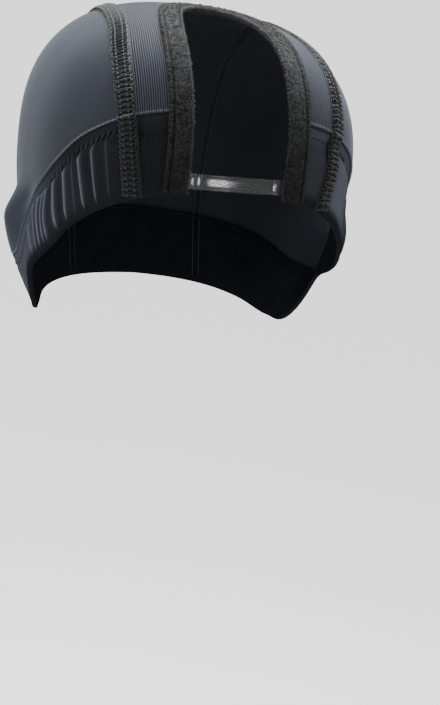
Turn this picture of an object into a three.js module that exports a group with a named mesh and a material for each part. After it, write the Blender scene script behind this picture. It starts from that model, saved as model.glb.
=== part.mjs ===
// A stretch dome wig cap with a U-shaped parting opening, in the shape that it takes on a head.
// Millimetres. +Z is up, -Y is the forehead side and +X is the wearer's left.
// The origin is the middle of the head hollow, at the level where the cap is widest above the ears.
import * as THREE from "three";

// Form of the dressed head, measured to the outer face of the cloth.
const HALF_WIDTH = 78;
const FRONT_DEPTH = 89.5;
const BACK_DEPTH = 101;
const CROWN_HEIGHT = 71.4;
const PLAN_POWER = 2.64; // superellipse power of the level sections
const DOME_POWER = 2.56; // superellipse power of the upright sections
const EGG = 0.064; // share by which the width grows 100 mm further back
const OCCIPUT_DROP = 20; // how far below the origin the back of the head is deepest
const SIDE_TAPER = 0.26; // share of the width lost 100 mm below the widest level
const NAPE_TAPER = 0.62; // the same at the back

// Places where the cloth stands out: over the ear, and where it bridges from the temple to the ear.
const bulges = [
  { out: 11.3, back: 3.3, height: -39.4, reachAlong: 15.8, reachUp: 14.3, reachDown: 45 },
  { out: 5.4, back: -40, height: -28.7, reachAlong: 24, reachUp: 15, reachDown: 45 },
];

// Walls and clearances.
const CLOTH = 1.1;
const HEM_WALL = 2.0;
const HEM_INSET = 0.6; // the gathered hem lies this far inside the panels' face
const FRONT_HEM_INSET = 0.3;
const GAP = 0.4;

// U-shaped opening, measured to the bare inner edge of its binding.
const OPENING_HALF_WIDTH = 22.2;
const OPENING_ROUND_START = 38; // sagittal angle in degrees where the round end begins
const OPENING_TIP = 96;
const OPENING_ROUND_POWER = 1.85; // superellipse power of the round end
const BINDING_WIDTH = 10.8;
const BINDING_INNER_WIDTH = 9.4;
const BINDING_LEG = 0.7;
const BINDING_FOLD = 1.3;
const SLOT_TOP = 0.3;
const SLOT_BOTTOM = -1.7;

// Flatlock seams between the middle panel and the side panels, by sagittal angle.
const SEAM_WIDTH = 9;
const SEAM_HEIGHT = 1.1;
const SEAM_STATIONS = 72;
const seamLine = [
  { angle: -5, halfWidth: 44 },
  { angle: 20, halfWidth: 49 },
  { angle: 45, halfWidth: 49.8 },
  { angle: 70, halfWidth: 46.3 },
  { angle: 100, halfWidth: 43 },
  { angle: 140, halfWidth: 41 },
  { angle: 180, halfWidth: 39 },
  { angle: 235, halfWidth: 36 },
];

// Lower edge of the cap and the tuck above it, by azimuth in degrees from the forehead.
const hemLine = [
  { azimuth: 0, rim: 2.5, tuck: 37 },
  { azimuth: 14, rim: 1, tuck: 36.3 },
  { azimuth: 21, rim: -0.6, tuck: 35 },
  { azimuth: 28, rim: -4.8, tuck: 32.6 },
  { azimuth: 36, rim: -10.7, tuck: 28.2 },
  { azimuth: 43, rim: -17.3, tuck: 22.3 },
  { azimuth: 50, rim: -26.1, tuck: 15.1 },
  { azimuth: 57, rim: -37.1, tuck: 5.8 },
  { azimuth: 66, rim: -46.6, tuck: -6.8 },
  { azimuth: 75, rim: -53.2, tuck: -21.8 },
  { azimuth: 81, rim: -60.8, tuck: -38.8 },
  { azimuth: 86, rim: -74.9, tuck: -52.2 },
  { azimuth: 92, rim: -84, tuck: -57 },
  { azimuth: 104, rim: -87, tuck: -58 },
  { azimuth: 130, rim: -87, tuck: -55 },
  { azimuth: 180, rim: -85, tuck: -52 },
];

// Gathers that the elastic draws into the hem, from the seam round to the back.
const GATHER_DEPTH = 1.5;
const GATHER_LEAN = 8; // degrees that a fold runs forward from the tuck to the rim
const GATHERS_PER_SIDE = 26;
const COLUMNS_PER_GATHER = 4;
const SEAM_FLAT = 6; // degrees beside a seam over which its stitches hold the gathers flat
const hemRows = [
  { down: 0, gather: 0 },
  { down: 0.14, gather: 0.1 },
  { down: 0.38, gather: 1 },
  { down: 0.7, gather: 1 },
  { down: 1, gather: 0.7 },
];

// Clear strap across the front of the opening.
const STRAP_HEIGHT = 7;
const STRAP_ABOVE_RIM = 0.6;
const STRAP_THICK = 0.7;
const STRAP_HALF_LENGTH = 29.5;
const STRAP_STATIONS = 15;

const radians = THREE.MathUtils.degToRad;
const lerp = THREE.MathUtils.lerp;
const steps = (count, place) => Array.from({ length: count + 1 }, (_, i) => place(i / count));

// A smooth curve through one column of a table.
function tableCurve(rows, at, column) {
  const curve = new THREE.CubicInterpolant(
    rows.map((row) => row[at]),
    rows.map((row) => row[column]),
    1,
    [],
  );
  return (x) => curve.evaluate(x)[0];
}
const seamHalfWidth = tableCurve(seamLine, "angle", "halfWidth");
const rimHeight = tableCurve(hemLine, "azimuth", "rim");
const tuckHeight = tableCurve(hemLine, "azimuth", "tuck");

// The head form as a level function: under 1 inside it, 1 on the cloth's outer face.
function headLevel({ x, y, z }) {
  const depth = y < 0 ? FRONT_DEPTH : BACK_DEPTH;
  const rear = Math.max(0, y / depth) ** 2;
  let width = HALF_WIDTH * (1 + EGG * y / 100);
  for (const { out, back, height, reachAlong, reachUp, reachDown } of bulges) {
    const rise = (z - height) / (z > height ? reachUp : reachDown);
    width += out * Math.exp(-(((y - back) / reachAlong) ** 2) - rise ** 2);
  }
  const plan = (Math.abs(x / width) ** PLAN_POWER + Math.abs(y / depth) ** PLAN_POWER) ** (1 / PLAN_POWER);
  const drop = OCCIPUT_DROP * rear;
  const level = z + drop;
  if (level >= 0) {
    return (plan ** DOME_POWER + (level / (CROWN_HEIGHT + drop)) ** DOME_POWER) ** (1 / DOME_POWER);
  }
  const taper = lerp(SIDE_TAPER, NAPE_TAPER, Math.min(1, rear));
  return plan / Math.max(0.05, 1 - taper * (level / 100) ** 2);
}

// The point where a ray from inside the head form meets the cloth's outer face.
function meetCloth(from, along) {
  const point = new THREE.Vector3();
  let near = 0;
  let far = 220;
  for (let halving = 0; halving < 40; halving++) {
    const middle = (near + far) / 2;
    point.copy(from).addScaledVector(along, middle);
    if (headLevel(point) < 1) near = middle;
    else far = middle;
  }
  return point;
}

const STEP = 0.05; // half-width of the difference that measures the cloth's normal
function clothNormal({ x, y, z }) {
  const slope = (dx, dy, dz) =>
    headLevel({ x: x + dx, y: y + dy, z: z + dz }) - headLevel({ x: x - dx, y: y - dy, z: z - dz });
  return new THREE.Vector3(slope(STEP, 0, 0), slope(0, STEP, 0), slope(0, 0, STEP)).normalize();
}

// Places on the cloth's outer face.
const atAzimuth = (degrees, z) =>
  meetCloth(
    new THREE.Vector3(0, 0, z),
    new THREE.Vector3(Math.sin(radians(degrees)), -Math.cos(radians(degrees)), 0),
  );
const atSagittal = (x, degrees) =>
  meetCloth(
    new THREE.Vector3(x, 0, 0),
    new THREE.Vector3(0, -Math.cos(radians(degrees)), Math.sin(radians(degrees))),
  );
const atFront = (x, z) => meetCloth(new THREE.Vector3(x, 0, z), new THREE.Vector3(0, -1, 0));
const HEART = new THREE.Vector3(0, 0, -10); // centre from which stray points are pushed to the cloth
const ontoCloth = (p) => meetCloth(HEART, p.clone().sub(HEART).normalize());
const azimuthOf = ({ x, y }) => THREE.MathUtils.radToDeg(Math.atan2(Math.abs(x), -y));

// The sagittal angle at which a line of constant half-width crosses the rim or the tuck.
function crossing(halfWidthAt, heightAt, above, below) {
  let high = above;
  let low = below;
  for (let halving = 0; halving < 40; halving++) {
    const middle = (high + low) / 2;
    const p = atSagittal(halfWidthAt(middle), middle);
    if (p.z > heightAt(azimuthOf(p))) high = middle;
    else low = middle;
  }
  return (high + low) / 2;
}

// A point of a wall: its place on the head form, how far its outer face stands off, and how thick it is.
const wallPoint = (base, lift = 0, thick = CLOTH) => ({ base, lift, thick });

// Joins grids of wall points into one sheet and gives it its thickness: an outer face, an inner face,
// and an edge wherever the sheet ends.
function thickSheet(grids) {
  const outer = [];
  const inner = [];
  const normals = [];
  const known = new Map();
  const vertex = ({ base, lift, thick }) => {
    const key = base.toArray().map((c) => Math.round(c * 1e3)).join(" ");
    if (!known.has(key)) {
      const normal = clothNormal(base);
      known.set(key, outer.length);
      normals.push(normal);
      outer.push(base.clone().addScaledVector(normal, lift));
      inner.push(base.clone().addScaledVector(normal, lift - thick));
    }
    return known.get(key);
  };
  const faces = [];
  const addFace = (a, b, c) => {
    if (a === b || b === c || c === a) return;
    const facing = outer[b].clone().sub(outer[a]).cross(outer[c].clone().sub(outer[a]));
    faces.push(facing.dot(normals[a]) > 0 ? [a, b, c] : [a, c, b]);
  };
  for (const grid of grids) {
    for (let i = 0; i + 1 < grid.length; i++) {
      for (let j = 0; j + 1 < grid[i].length; j++) {
        const corners = [grid[i][j], grid[i + 1][j], grid[i + 1][j + 1], grid[i][j + 1]].map(vertex);
        addFace(corners[0], corners[1], corners[2]);
        addFace(corners[0], corners[2], corners[3]);
      }
    }
  }
  const count = outer.length;
  const edges = new Set(faces.flatMap(([a, b, c]) => [`${a} ${b}`, `${b} ${c}`, `${c} ${a}`]));
  const index = [];
  for (const [a, b, c] of faces) index.push(a, b, c, a + count, c + count, b + count);
  for (const edge of edges) {
    const [a, b] = edge.split(" ").map(Number);
    if (!edges.has(`${b} ${a}`)) index.push(b, a, a + count, b, a + count, b + count);
  }
  return new THREE.BufferGeometry().setFromPoints([...outer, ...inner]).setIndex(index);
}

// Carries a closed profile through a row of stations and caps both ends. The profile runs anticlockwise
// for an eye that looks back along the row.
function loft(sections, profile) {
  const sides = profile.length;
  const index = [];
  for (let i = 0; i + 1 < sections.length; i++) {
    for (let j = 0; j < sides; j++) {
      const a = i * sides + j;
      const b = i * sides + ((j + 1) % sides);
      index.push(a, b + sides, b, a, a + sides, b + sides);
    }
  }
  const last = (sections.length - 1) * sides;
  for (const [a, b, c] of THREE.ShapeUtils.triangulateShape(profile, [])) {
    index.push(a, b, c, last + a, last + c, last + b);
  }
  return new THREE.BufferGeometry().setFromPoints(sections.flat()).setIndex(index);
}

// Sections of a tape that lies along a path on the cloth. In the profile, x runs across the tape, to the
// right of its way along, and y stands off the cloth.
function tapeSections(path, profile) {
  return path.map((base, i) => {
    const ahead = path[Math.min(i + 1, path.length - 1)].clone().sub(path[Math.max(i - 1, 0)]);
    const across = ahead.cross(clothNormal(base)).normalize();
    return profile.map(({ x, y }) => {
      const spot = ontoCloth(base.clone().addScaledVector(across, x));
      return spot.addScaledVector(clothNormal(spot), y);
    });
  });
}

// Rows of cloth points between two lines on the head form, along great circles about its heart.
function clothBetween(lineA, lineB, rows) {
  return lineA.map((a, i) => {
    const toA = a.clone().sub(HEART).normalize();
    const toB = lineB[i].clone().sub(HEART).normalize();
    const turn = toA.angleTo(toB);
    return steps(rows, (v) => {
      const along = toA.clone().multiplyScalar(Math.sin((1 - v) * turn));
      along.addScaledVector(toB, Math.sin(v * turn)).normalize();
      return meetCloth(HEART, along);
    });
  });
}
const mirrored = (p) => new THREE.Vector3(-p.x, p.y, p.z);
const onTuck = (p) => atAzimuth(azimuthOf(p), tuckHeight(azimuthOf(p))).multiply(
  new THREE.Vector3(Math.sign(p.x) || 1, 1, 1),
);

const CLOTH_LOOK = { color: 0x2c2f36, roughness: 0.55, metalness: 0 };
const named = (name, geometry, look) => {
  const mesh = new THREE.Mesh(geometry, new THREE.MeshStandardMaterial(look));
  mesh.name = name;
  return mesh;
};

// Edge of the opening on the wearer's left, from the rim to the tip, as far out from it as asked.
function openingEdge(out) {
  const rimAngle = crossing(() => OPENING_HALF_WIDTH, rimHeight, 40, -20);
  const straight = steps(9, (t) => atSagittal(OPENING_HALF_WIDTH, lerp(rimAngle, OPENING_ROUND_START, t)));
  const round = steps(15, (t) => {
    const turn = t * Math.PI / 2;
    const angle = lerp(OPENING_ROUND_START, OPENING_TIP, Math.sin(turn) ** (2 / OPENING_ROUND_POWER));
    return atSagittal(OPENING_HALF_WIDTH * Math.cos(turn) ** (2 / OPENING_ROUND_POWER), angle);
  });
  const half = [...straight, ...round.slice(1)];
  const whole = [...half, ...half.slice(0, -1).reverse().map(mirrored)];
  const profile = [new THREE.Vector2(out, 0)];
  return tapeSections(whole, profile).map(([p]) => p).slice(0, half.length);
}

// Middle panel: from the tuck over the forehead, beside the opening, and back to the tuck at the nape.
function middlePanel() {
  const edgeOut = BINDING_FOLD + GAP;
  const edge = openingEdge(edgeOut).filter((p) => p.z > tuckHeight(azimuthOf(p)) + 3);
  const tip = edge[edge.length - 1].setX(0);
  const tipAngle = 180 - THREE.MathUtils.radToDeg(Math.atan2(tip.z, tip.y));
  const backRows = 16;
  const seamOut = (angle) => seamHalfWidth(angle) - GAP;
  const seamFront = crossing(seamOut, tuckHeight, 60, 0);
  const seamBack = crossing(seamOut, tuckHeight, 150, 225);
  const middleBack = crossing(() => 0, tuckHeight, 150, 225);
  const inner = [onTuck(edge[0]).setX(edge[0].x), ...edge];
  inner.push(...steps(backRows, (t) => atSagittal(0, lerp(tipAngle, middleBack, t))).slice(1));
  const seamPoints = steps(inner.length - 1, (t) => {
    const angle = lerp(seamFront, seamBack, t);
    return atSagittal(seamOut(angle), angle);
  });
  const grid = clothBetween(inner, seamPoints, 5);
  grid[0] = grid[0].map(onTuck);
  grid[grid.length - 1] = grid[grid.length - 1].map((p) => (p.x < 1 ? p : onTuck(p)));
  const left = grid.map((row) => row.map((p) => wallPoint(p)));
  const right = grid.map((row) => row.map((p) => wallPoint(p.x < 1e-6 ? p : mirrored(p))));
  return thickSheet([left, right]);
}

// Side panel: from the seam over the temple and the ear down to the tuck.
function sidePanel(side) {
  const columns = 30;
  const corner = 0.015; // share of both lines left off where they meet
  const seamOut = (angle) => seamHalfWidth(angle) + GAP;
  const front = crossing(seamOut, tuckHeight, 60, 0);
  const back = crossing(seamOut, tuckHeight, 150, 225);
  const shares = steps(columns, (t) => lerp(corner, 1 - corner, t));
  const seam = shares.map((t) => atSagittal(seamOut(lerp(front, back, t)), lerp(front, back, t)));
  const frontAzimuth = azimuthOf(atSagittal(seamOut(front), front));
  const backAzimuth = azimuthOf(atSagittal(seamOut(back), back));
  const tuck = shares.map((t) => {
    const azimuth = lerp(frontAzimuth, backAzimuth, t);
    return atAzimuth(azimuth, tuckHeight(azimuth));
  });
  const grid = clothBetween(seam, tuck, 10);
  return thickSheet([grid.map((row) => row.map((p) => wallPoint(side > 0 ? p : mirrored(p))))]);
}

// Elastic hem: one band from the opening round the ears and the nape and back to the opening, flat in
// front of the seams and gathered behind them.
function elasticHem() {
  const edgeX = OPENING_HALF_WIDTH + BINDING_FOLD + GAP;
  const seamFront = crossing(seamHalfWidth, tuckHeight, 60, 0);
  const seamBack = crossing(seamHalfWidth, tuckHeight, 150, 225);
  const frontAzimuth = azimuthOf(atSagittal(seamHalfWidth(seamFront), seamFront));
  const backAzimuth = azimuthOf(atSagittal(seamHalfWidth(seamBack), seamBack));
  const edgeAzimuth = (down) => azimuthOf(atFront(edgeX, lerp(tuckHeight(16), rimHeight(16), down)));
  const hemPoint = (azimuth, { down, gather }, wave, inset, thick) => {
    const z = lerp(tuckHeight(azimuth) - GAP, rimHeight(azimuth), down);
    return wallPoint(atAzimuth(azimuth, z), wave * gather * GATHER_DEPTH - inset, thick);
  };
  const flatColumns = steps(4, (t) => hemRows.map((row) => {
    const seamAzimuth = frontAzimuth - GATHER_LEAN * row.down;
    const azimuth = lerp(edgeAzimuth(row.down), seamAzimuth, t);
    return hemPoint(azimuth, row, 0, FRONT_HEM_INSET, CLOTH);
  }));
  const count = GATHERS_PER_SIDE * COLUMNS_PER_GATHER;
  const gathered = steps(count, (t) => {
    const azimuth = lerp(frontAzimuth, 180, t);
    const fromSeam = Math.min(azimuth - frontAzimuth, Math.abs(azimuth - backAzimuth));
    const free = THREE.MathUtils.smoothstep(fromSeam, SEAM_FLAT / 2, SEAM_FLAT * 1.5);
    const wave = free * (0.5 + 0.5 * Math.cos(2 * Math.PI * GATHERS_PER_SIDE * t)) ** 2;
    const settle = THREE.MathUtils.smoothstep(azimuth - frontAzimuth, 0, SEAM_FLAT);
    const lean = GATHER_LEAN * THREE.MathUtils.smoothstep(180 - azimuth, 0, 40);
    return hemRows.map((row) => hemPoint(
      azimuth - lean * row.down,
      row,
      wave,
      lerp(FRONT_HEM_INSET, HEM_INSET, settle),
      lerp(CLOTH, HEM_WALL, settle),
    ));
  });
  const half = [...flatColumns.slice(0, -1), ...gathered];
  const other = half.slice(0, -1).reverse().map((column) =>
    column.map(({ base, lift, thick }) => wallPoint(mirrored(base), lift, thick)));
  return thickSheet([[...half, ...other]]);
}

// Binding: fold-over tape along the whole U, with the raw edge of the cloth between its two legs.
function openingBinding() {
  const half = openingEdge(0);
  half[half.length - 1].setX(0);
  const path = [...half, ...half.slice(0, -1).reverse().map(mirrored)];
  const top = SLOT_TOP + BINDING_LEG;
  const bottom = SLOT_BOTTOM - BINDING_LEG;
  const round = 0.6;
  const profile = [
    [0, SLOT_TOP],
    [0, SLOT_BOTTOM],
    [round, bottom],
    [BINDING_INNER_WIDTH, bottom],
    [BINDING_INNER_WIDTH, SLOT_BOTTOM],
    [BINDING_FOLD, SLOT_BOTTOM],
    [BINDING_FOLD, SLOT_TOP],
    [BINDING_WIDTH, SLOT_TOP],
    [BINDING_WIDTH, top - round / 3],
    [BINDING_WIDTH - round, top],
    [round, top],
  ].map(([x, y]) => new THREE.Vector2(x, y));
  return loft(tapeSections(path, profile), profile);
}

// Flatlock seam: a low raised tape of thread over the butted edges of two panels, from rim to rim.
function flatlockSeam(side) {
  const front = crossing(seamHalfWidth, rimHeight, 40, -30);
  const back = crossing(seamHalfWidth, rimHeight, 150, 250);
  const path = steps(SEAM_STATIONS, (t) => {
    const angle = lerp(front, back, t);
    return atSagittal(seamHalfWidth(angle), angle);
  });
  const half = SEAM_WIDTH / 2;
  const profile = [
    [-half, GAP],
    [half, GAP],
    [half * 0.85, GAP + SEAM_HEIGHT],
    [0, GAP + SEAM_HEIGHT * 1.1],
    [-half * 0.85, GAP + SEAM_HEIGHT],
  ].map(([x, y]) => new THREE.Vector2(x, y));
  const sidePath = side > 0 ? path : path.map(mirrored);
  return loft(tapeSections(sidePath, profile), profile);
}

// Clear strap: a thin film strip whose ends run in under the binding.
function clearStrap() {
  const low = rimHeight(0) + STRAP_ABOVE_RIM;
  const outer = SLOT_BOTTOM - BINDING_LEG - GAP;
  const profile = [
    [low, outer],
    [low, outer - STRAP_THICK],
    [low + STRAP_HEIGHT, outer - STRAP_THICK],
    [low + STRAP_HEIGHT, outer],
  ].map(([x, y]) => new THREE.Vector2(x, y));
  const sections = steps(STRAP_STATIONS, (t) => {
    const across = lerp(STRAP_HALF_LENGTH, -STRAP_HALF_LENGTH, t);
    return profile.map(({ x: height, y: standOff }) => {
      const base = atFront(across, height);
      return base.addScaledVector(clothNormal(base), standOff);
    });
  });
  return loft(sections, profile);
}

const cap = new THREE.Group();
cap.add(
  named("middle_panel", middlePanel(), CLOTH_LOOK),
  named("side_panel_left", sidePanel(1), CLOTH_LOOK),
  named("side_panel_right", sidePanel(-1), CLOTH_LOOK),
  named("elastic_hem", elasticHem(), { color: 0x24262c, roughness: 0.5, metalness: 0 }),
  named("flatlock_seam_left", flatlockSeam(1), { color: 0x1d1e20, roughness: 0.8, metalness: 0 }),
  named("flatlock_seam_right", flatlockSeam(-1), { color: 0x1d1e20, roughness: 0.8, metalness: 0 }),
  named("opening_binding", openingBinding(), { color: 0x222326, roughness: 0.95, metalness: 0 }),
  named("clear_strap", clearStrap(), {
    color: 0xe8e0da,
    roughness: 0.15,
    metalness: 0,
    transparent: true,
    opacity: 0.35,
  }),
);

export default cap;
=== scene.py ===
import bpy
import numpy as np
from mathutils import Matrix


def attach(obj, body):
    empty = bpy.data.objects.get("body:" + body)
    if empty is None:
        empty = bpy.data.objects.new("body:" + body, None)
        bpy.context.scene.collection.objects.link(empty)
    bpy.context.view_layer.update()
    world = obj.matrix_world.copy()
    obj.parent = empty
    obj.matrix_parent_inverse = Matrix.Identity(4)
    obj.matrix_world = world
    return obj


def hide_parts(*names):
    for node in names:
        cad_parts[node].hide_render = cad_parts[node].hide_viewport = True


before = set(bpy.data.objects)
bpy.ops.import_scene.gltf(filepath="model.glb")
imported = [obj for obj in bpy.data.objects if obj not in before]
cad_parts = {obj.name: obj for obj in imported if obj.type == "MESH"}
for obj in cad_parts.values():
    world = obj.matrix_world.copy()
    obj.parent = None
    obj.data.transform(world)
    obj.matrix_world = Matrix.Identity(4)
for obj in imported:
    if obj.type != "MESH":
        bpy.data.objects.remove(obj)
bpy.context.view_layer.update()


# Middle panel: one strip of fine ribbed stretch knit from the forehead over the crown to the nape, with
# the notch of the parting opening in its front. Its lower ends are turned in at the tuck above the hem,
# and its long edges are butted to the side panels under the seams.
MM = 0.001
HALF_WIDTH, FRONT_DEPTH, BACK_DEPTH, CROWN_HEIGHT = 78.0, 89.5, 101.0, 71.4
PLAN_POWER, DOME_POWER, EGG, OCCIPUT_DROP = 2.64, 2.56, 0.064, 20.0
SIDE_TAPER, NAPE_TAPER = 0.26, 0.62
# Columns: how far out, how far back, at what height, reach along, reach up, reach down.
BULGES = ((11.3, 3.3, -39.4, 15.8, 14.3, 45.0), (5.4, -40.0, -28.7, 24.0, 15.0, 45.0))
HEART = np.array([0.0, 0.0, -10.0])
FARTHEST, HALVINGS = 220.0, 32


def bell(x, place, width):
    """A bell curve that is 1 at a place and falls off to both sides."""
    return np.exp(-(((x - place) / width) ** 2))


def head_level(p):
    """Level of the dressed head at points p: under 1 inside, 1 on the cloth's outer face.

    Level sections are superellipses, wider towards the back and bulged at the ears and temples. Above the
    widest level the section closes as another superellipse, and below it the section tapers as a parabola.
    """
    x, y, z = np.moveaxis(p, -1, 0)
    depth = np.where(y < 0, FRONT_DEPTH, BACK_DEPTH)
    rear = np.clip(y / depth, 0, None) ** 2
    width = HALF_WIDTH * (1 + EGG * y / 100)
    for out, back, height, along, up, down in BULGES:
        width = width + out * bell(y, back, along) * bell(z, height, np.where(z > height, up, down))
    plan = (np.abs(x / width) ** PLAN_POWER + np.abs(y / depth) ** PLAN_POWER) ** (1 / PLAN_POWER)
    drop = OCCIPUT_DROP * rear
    level = z + drop
    rise = np.abs(level) / (CROWN_HEIGHT + drop)
    dome = (plan**DOME_POWER + rise**DOME_POWER) ** (1 / DOME_POWER)
    taper = SIDE_TAPER + (NAPE_TAPER - SIDE_TAPER) * np.minimum(1, rear)
    wall = plan / np.maximum(0.05, 1 - taper * (level / 100) ** 2)
    return np.where(level >= 0, dome, wall)


def meet_cloth(start, along):
    """Where rays from inside the head meet the cloth's outer face, by halving."""
    start, along = np.broadcast_arrays(np.asarray(start, float), np.asarray(along, float))
    near = np.zeros(start.shape[:-1])
    far = near + FARTHEST
    for _ in range(HALVINGS):
        middle = (near + far) / 2
        inside = head_level(start + along * middle[..., None]) < 1
        near, far = np.where(inside, middle, near), np.where(inside, far, middle)
    return start + along * near[..., None]


def unit(v):
    """Vectors scaled to length 1."""
    return v / np.maximum(np.linalg.norm(v, axis=-1, keepdims=True), 1e-12)


def cloth_normal(p):
    """Outward normal of the cloth at points p, from central differences of the level."""
    offsets = np.eye(3) * 0.05
    slopes = [head_level(p + step) - head_level(p - step) for step in offsets]
    return unit(np.stack(slopes, -1))


def lifted(p, height):
    """Points p of the cloth moved out along its normal."""
    return p + cloth_normal(p) * height[..., None]


def at_azimuth(degrees, z):
    """Cloth points at an azimuth from the forehead and a height."""
    turn = np.radians(degrees)
    z = np.broadcast_to(z, turn.shape).astype(float)
    flat = np.zeros(turn.shape)
    return meet_cloth(np.stack([flat, flat, z], -1), np.stack([np.sin(turn), -np.cos(turn), flat], -1))


def at_sagittal(x, degrees):
    """Cloth points at a distance from the middle plane, and an angle from the forehead over the crown."""
    turn, x = np.broadcast_arrays(np.radians(degrees), np.asarray(x, float))
    flat = np.zeros(turn.shape)
    return meet_cloth(np.stack([x, flat, flat], -1), np.stack([flat, -np.cos(turn), np.sin(turn)], -1))


def onto_cloth(p):
    """Points moved to the cloth along rays from the middle of the head."""
    return meet_cloth(HEART, unit(p - HEART))


def azimuth_of(p):
    """Azimuth from the forehead in degrees, the same on both sides."""
    return np.degrees(np.arctan2(np.abs(p[..., 0]), -p[..., 1]))


def smooth_column(knots, values):
    """Cubic through a table's column whose slope at a row is the mean of the slopes on both sides of it."""
    t, v = np.array(knots, float), np.array(values, float)
    secant = np.diff(v) / np.diff(t)
    slope = np.concatenate([secant[:1], (secant[1:] + secant[:-1]) / 2, secant[-1:]])

    def at(x):
        x = np.clip(x, t[0], t[-1])
        i = np.clip(np.searchsorted(t, x) - 1, 0, len(t) - 2)
        width = t[i + 1] - t[i]
        p = (x - t[i]) / width
        start = v[i] + slope[i] * width * p
        bend = 3 * (v[i + 1] - v[i]) - (2 * slope[i] + slope[i + 1]) * width
        twist = 2 * (v[i] - v[i + 1]) + (slope[i] + slope[i + 1]) * width
        return start + bend * p**2 + twist * p**3

    return at


# Columns: angle from the forehead over the crown, distance of the seam from the middle plane.
SEAM_LINE = ((-5, 44), (20, 49), (45, 49.8), (70, 46.3), (100, 43), (140, 41), (180, 39), (235, 36))
seam_half_width = smooth_column(*zip(*SEAM_LINE))

# Columns: azimuth from the forehead, height of the rim, height of the tuck.
HEM_LINE = (
    (0, 2.5, 37), (14, 1, 36.3), (21, -0.6, 35), (28, -4.8, 32.6), (36, -10.7, 28.2), (43, -17.3, 22.3),
    (50, -26.1, 15.1), (57, -37.1, 5.8), (66, -46.6, -6.8), (75, -53.2, -21.8), (81, -60.8, -38.8),
    (86, -74.9, -52.2), (92, -84, -57), (104, -87, -58), (130, -87, -55), (180, -85, -52),
)
azimuths, rims, tucks = zip(*HEM_LINE)
rim_height, tuck_height = smooth_column(azimuths, rims), smooth_column(azimuths, tucks)

# Angles over the crown between which a line crosses both the tuck and the rim: one above them, one below.
FRONT, BACK = (60.0, -30.0), (150.0, 250.0)


def crossings(x_at, height_at):
    """Angles over the crown, in front and at the back, at which lines x_at(angle) cross a height that depends
    on azimuth, by halving."""
    found = []
    for high, low in (FRONT, BACK):
        for _ in range(HALVINGS):
            middle = (high + low) / 2
            p = at_sagittal(x_at(middle), middle)
            over = p[..., 2] > height_at(azimuth_of(p))
            high, low = np.where(over, middle, high), np.where(over, low, middle)
        found.append((high + low) / 2)
    return np.array(found)


def lengths_along(points):
    """Running length along a line of points, or along the first direction of a grid of them."""
    steps = np.linalg.norm(np.diff(points, axis=0), axis=-1)
    return np.concatenate([0 * steps[:1], np.cumsum(steps, axis=0)])


def at_lengths(s, lengths, line):
    """Points at given lengths along a line."""
    return np.stack([np.interp(s, lengths, column) for column in line.T], -1)


OPENING_HALF_WIDTH, ROUND_START, ROUND_TIP, ROUND_POWER = 22.2, 38.0, 96.0, 1.85
SIDE_POINTS, END_POINTS = 200, 400


def opening_edge(spacing):
    """Stations along the whole U of the opening from the wearer's left rim to the right one.

    The sides keep one distance from the middle plane, and the end is a superellipse of distance over angle.
    Gives the points, the directions away from the opening, and the length along the edge.
    """
    rim_angle = crossings(lambda angle: OPENING_HALF_WIDTH, rim_height)[0]
    turn = np.linspace(0, np.pi / 2, END_POINTS)
    angle = np.concatenate([
        np.linspace(rim_angle, ROUND_START, SIDE_POINTS)[:-1],
        ROUND_START + (ROUND_TIP - ROUND_START) * np.sin(turn) ** (2 / ROUND_POWER),
    ])
    share = np.concatenate([np.ones(SIDE_POINTS - 1), np.abs(np.cos(turn)) ** (2 / ROUND_POWER)])
    share[-1] = 0
    half = at_sagittal(share * OPENING_HALF_WIDTH, angle)
    line = np.concatenate([half, half[-2::-1] * [-1, 1, 1]])
    lengths = lengths_along(line)
    s = np.linspace(0, lengths[-1], int(lengths[-1] / spacing) + 1)
    points = onto_cloth(at_lengths(s, lengths, line))
    ahead = unit(np.gradient(points, axis=0))
    return points, unit(np.cross(ahead, cloth_normal(points))), s


def shell(outer, inner):
    """Closed wall between two grids of points: both faces, and a strip round the edge. Faces point out."""
    rows, columns, _ = outer.shape
    count = rows * columns
    index = np.arange(count).reshape(rows, columns)
    ring = np.concatenate([index[:, 0], index[-1, 1:], index[-2::-1, -1], index[0, -2::-1]])
    strip = np.stack([ring[1:], ring[:-1], ring[:-1] + count, ring[1:] + count], -1)
    face = np.stack([index[:-1, :-1], index[1:, :-1], index[1:, 1:], index[:-1, 1:]], -1).reshape(-1, 4)
    faces = np.concatenate([face, face[:, ::-1] + count, strip])
    points = np.concatenate([outer.reshape(-1, 3), inner.reshape(-1, 3)])
    across = np.cross(points[face[:, 2]] - points[face[:, 0]], points[face[:, 3]] - points[face[:, 1]])
    out = points[face[:, 0]] - points[face[:, 0] + count]
    return points, [faces if (across * out).sum() > 0 else faces[:, ::-1]]


def both_faces(uv, light):
    """A wall's map, from millimetres to tenths of a metre, and its painted light. Its inner face gets none.
    """
    uv = uv.reshape(-1, 2) / 100
    return np.concatenate([uv, uv]), np.concatenate([light, 0 * light])


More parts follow.
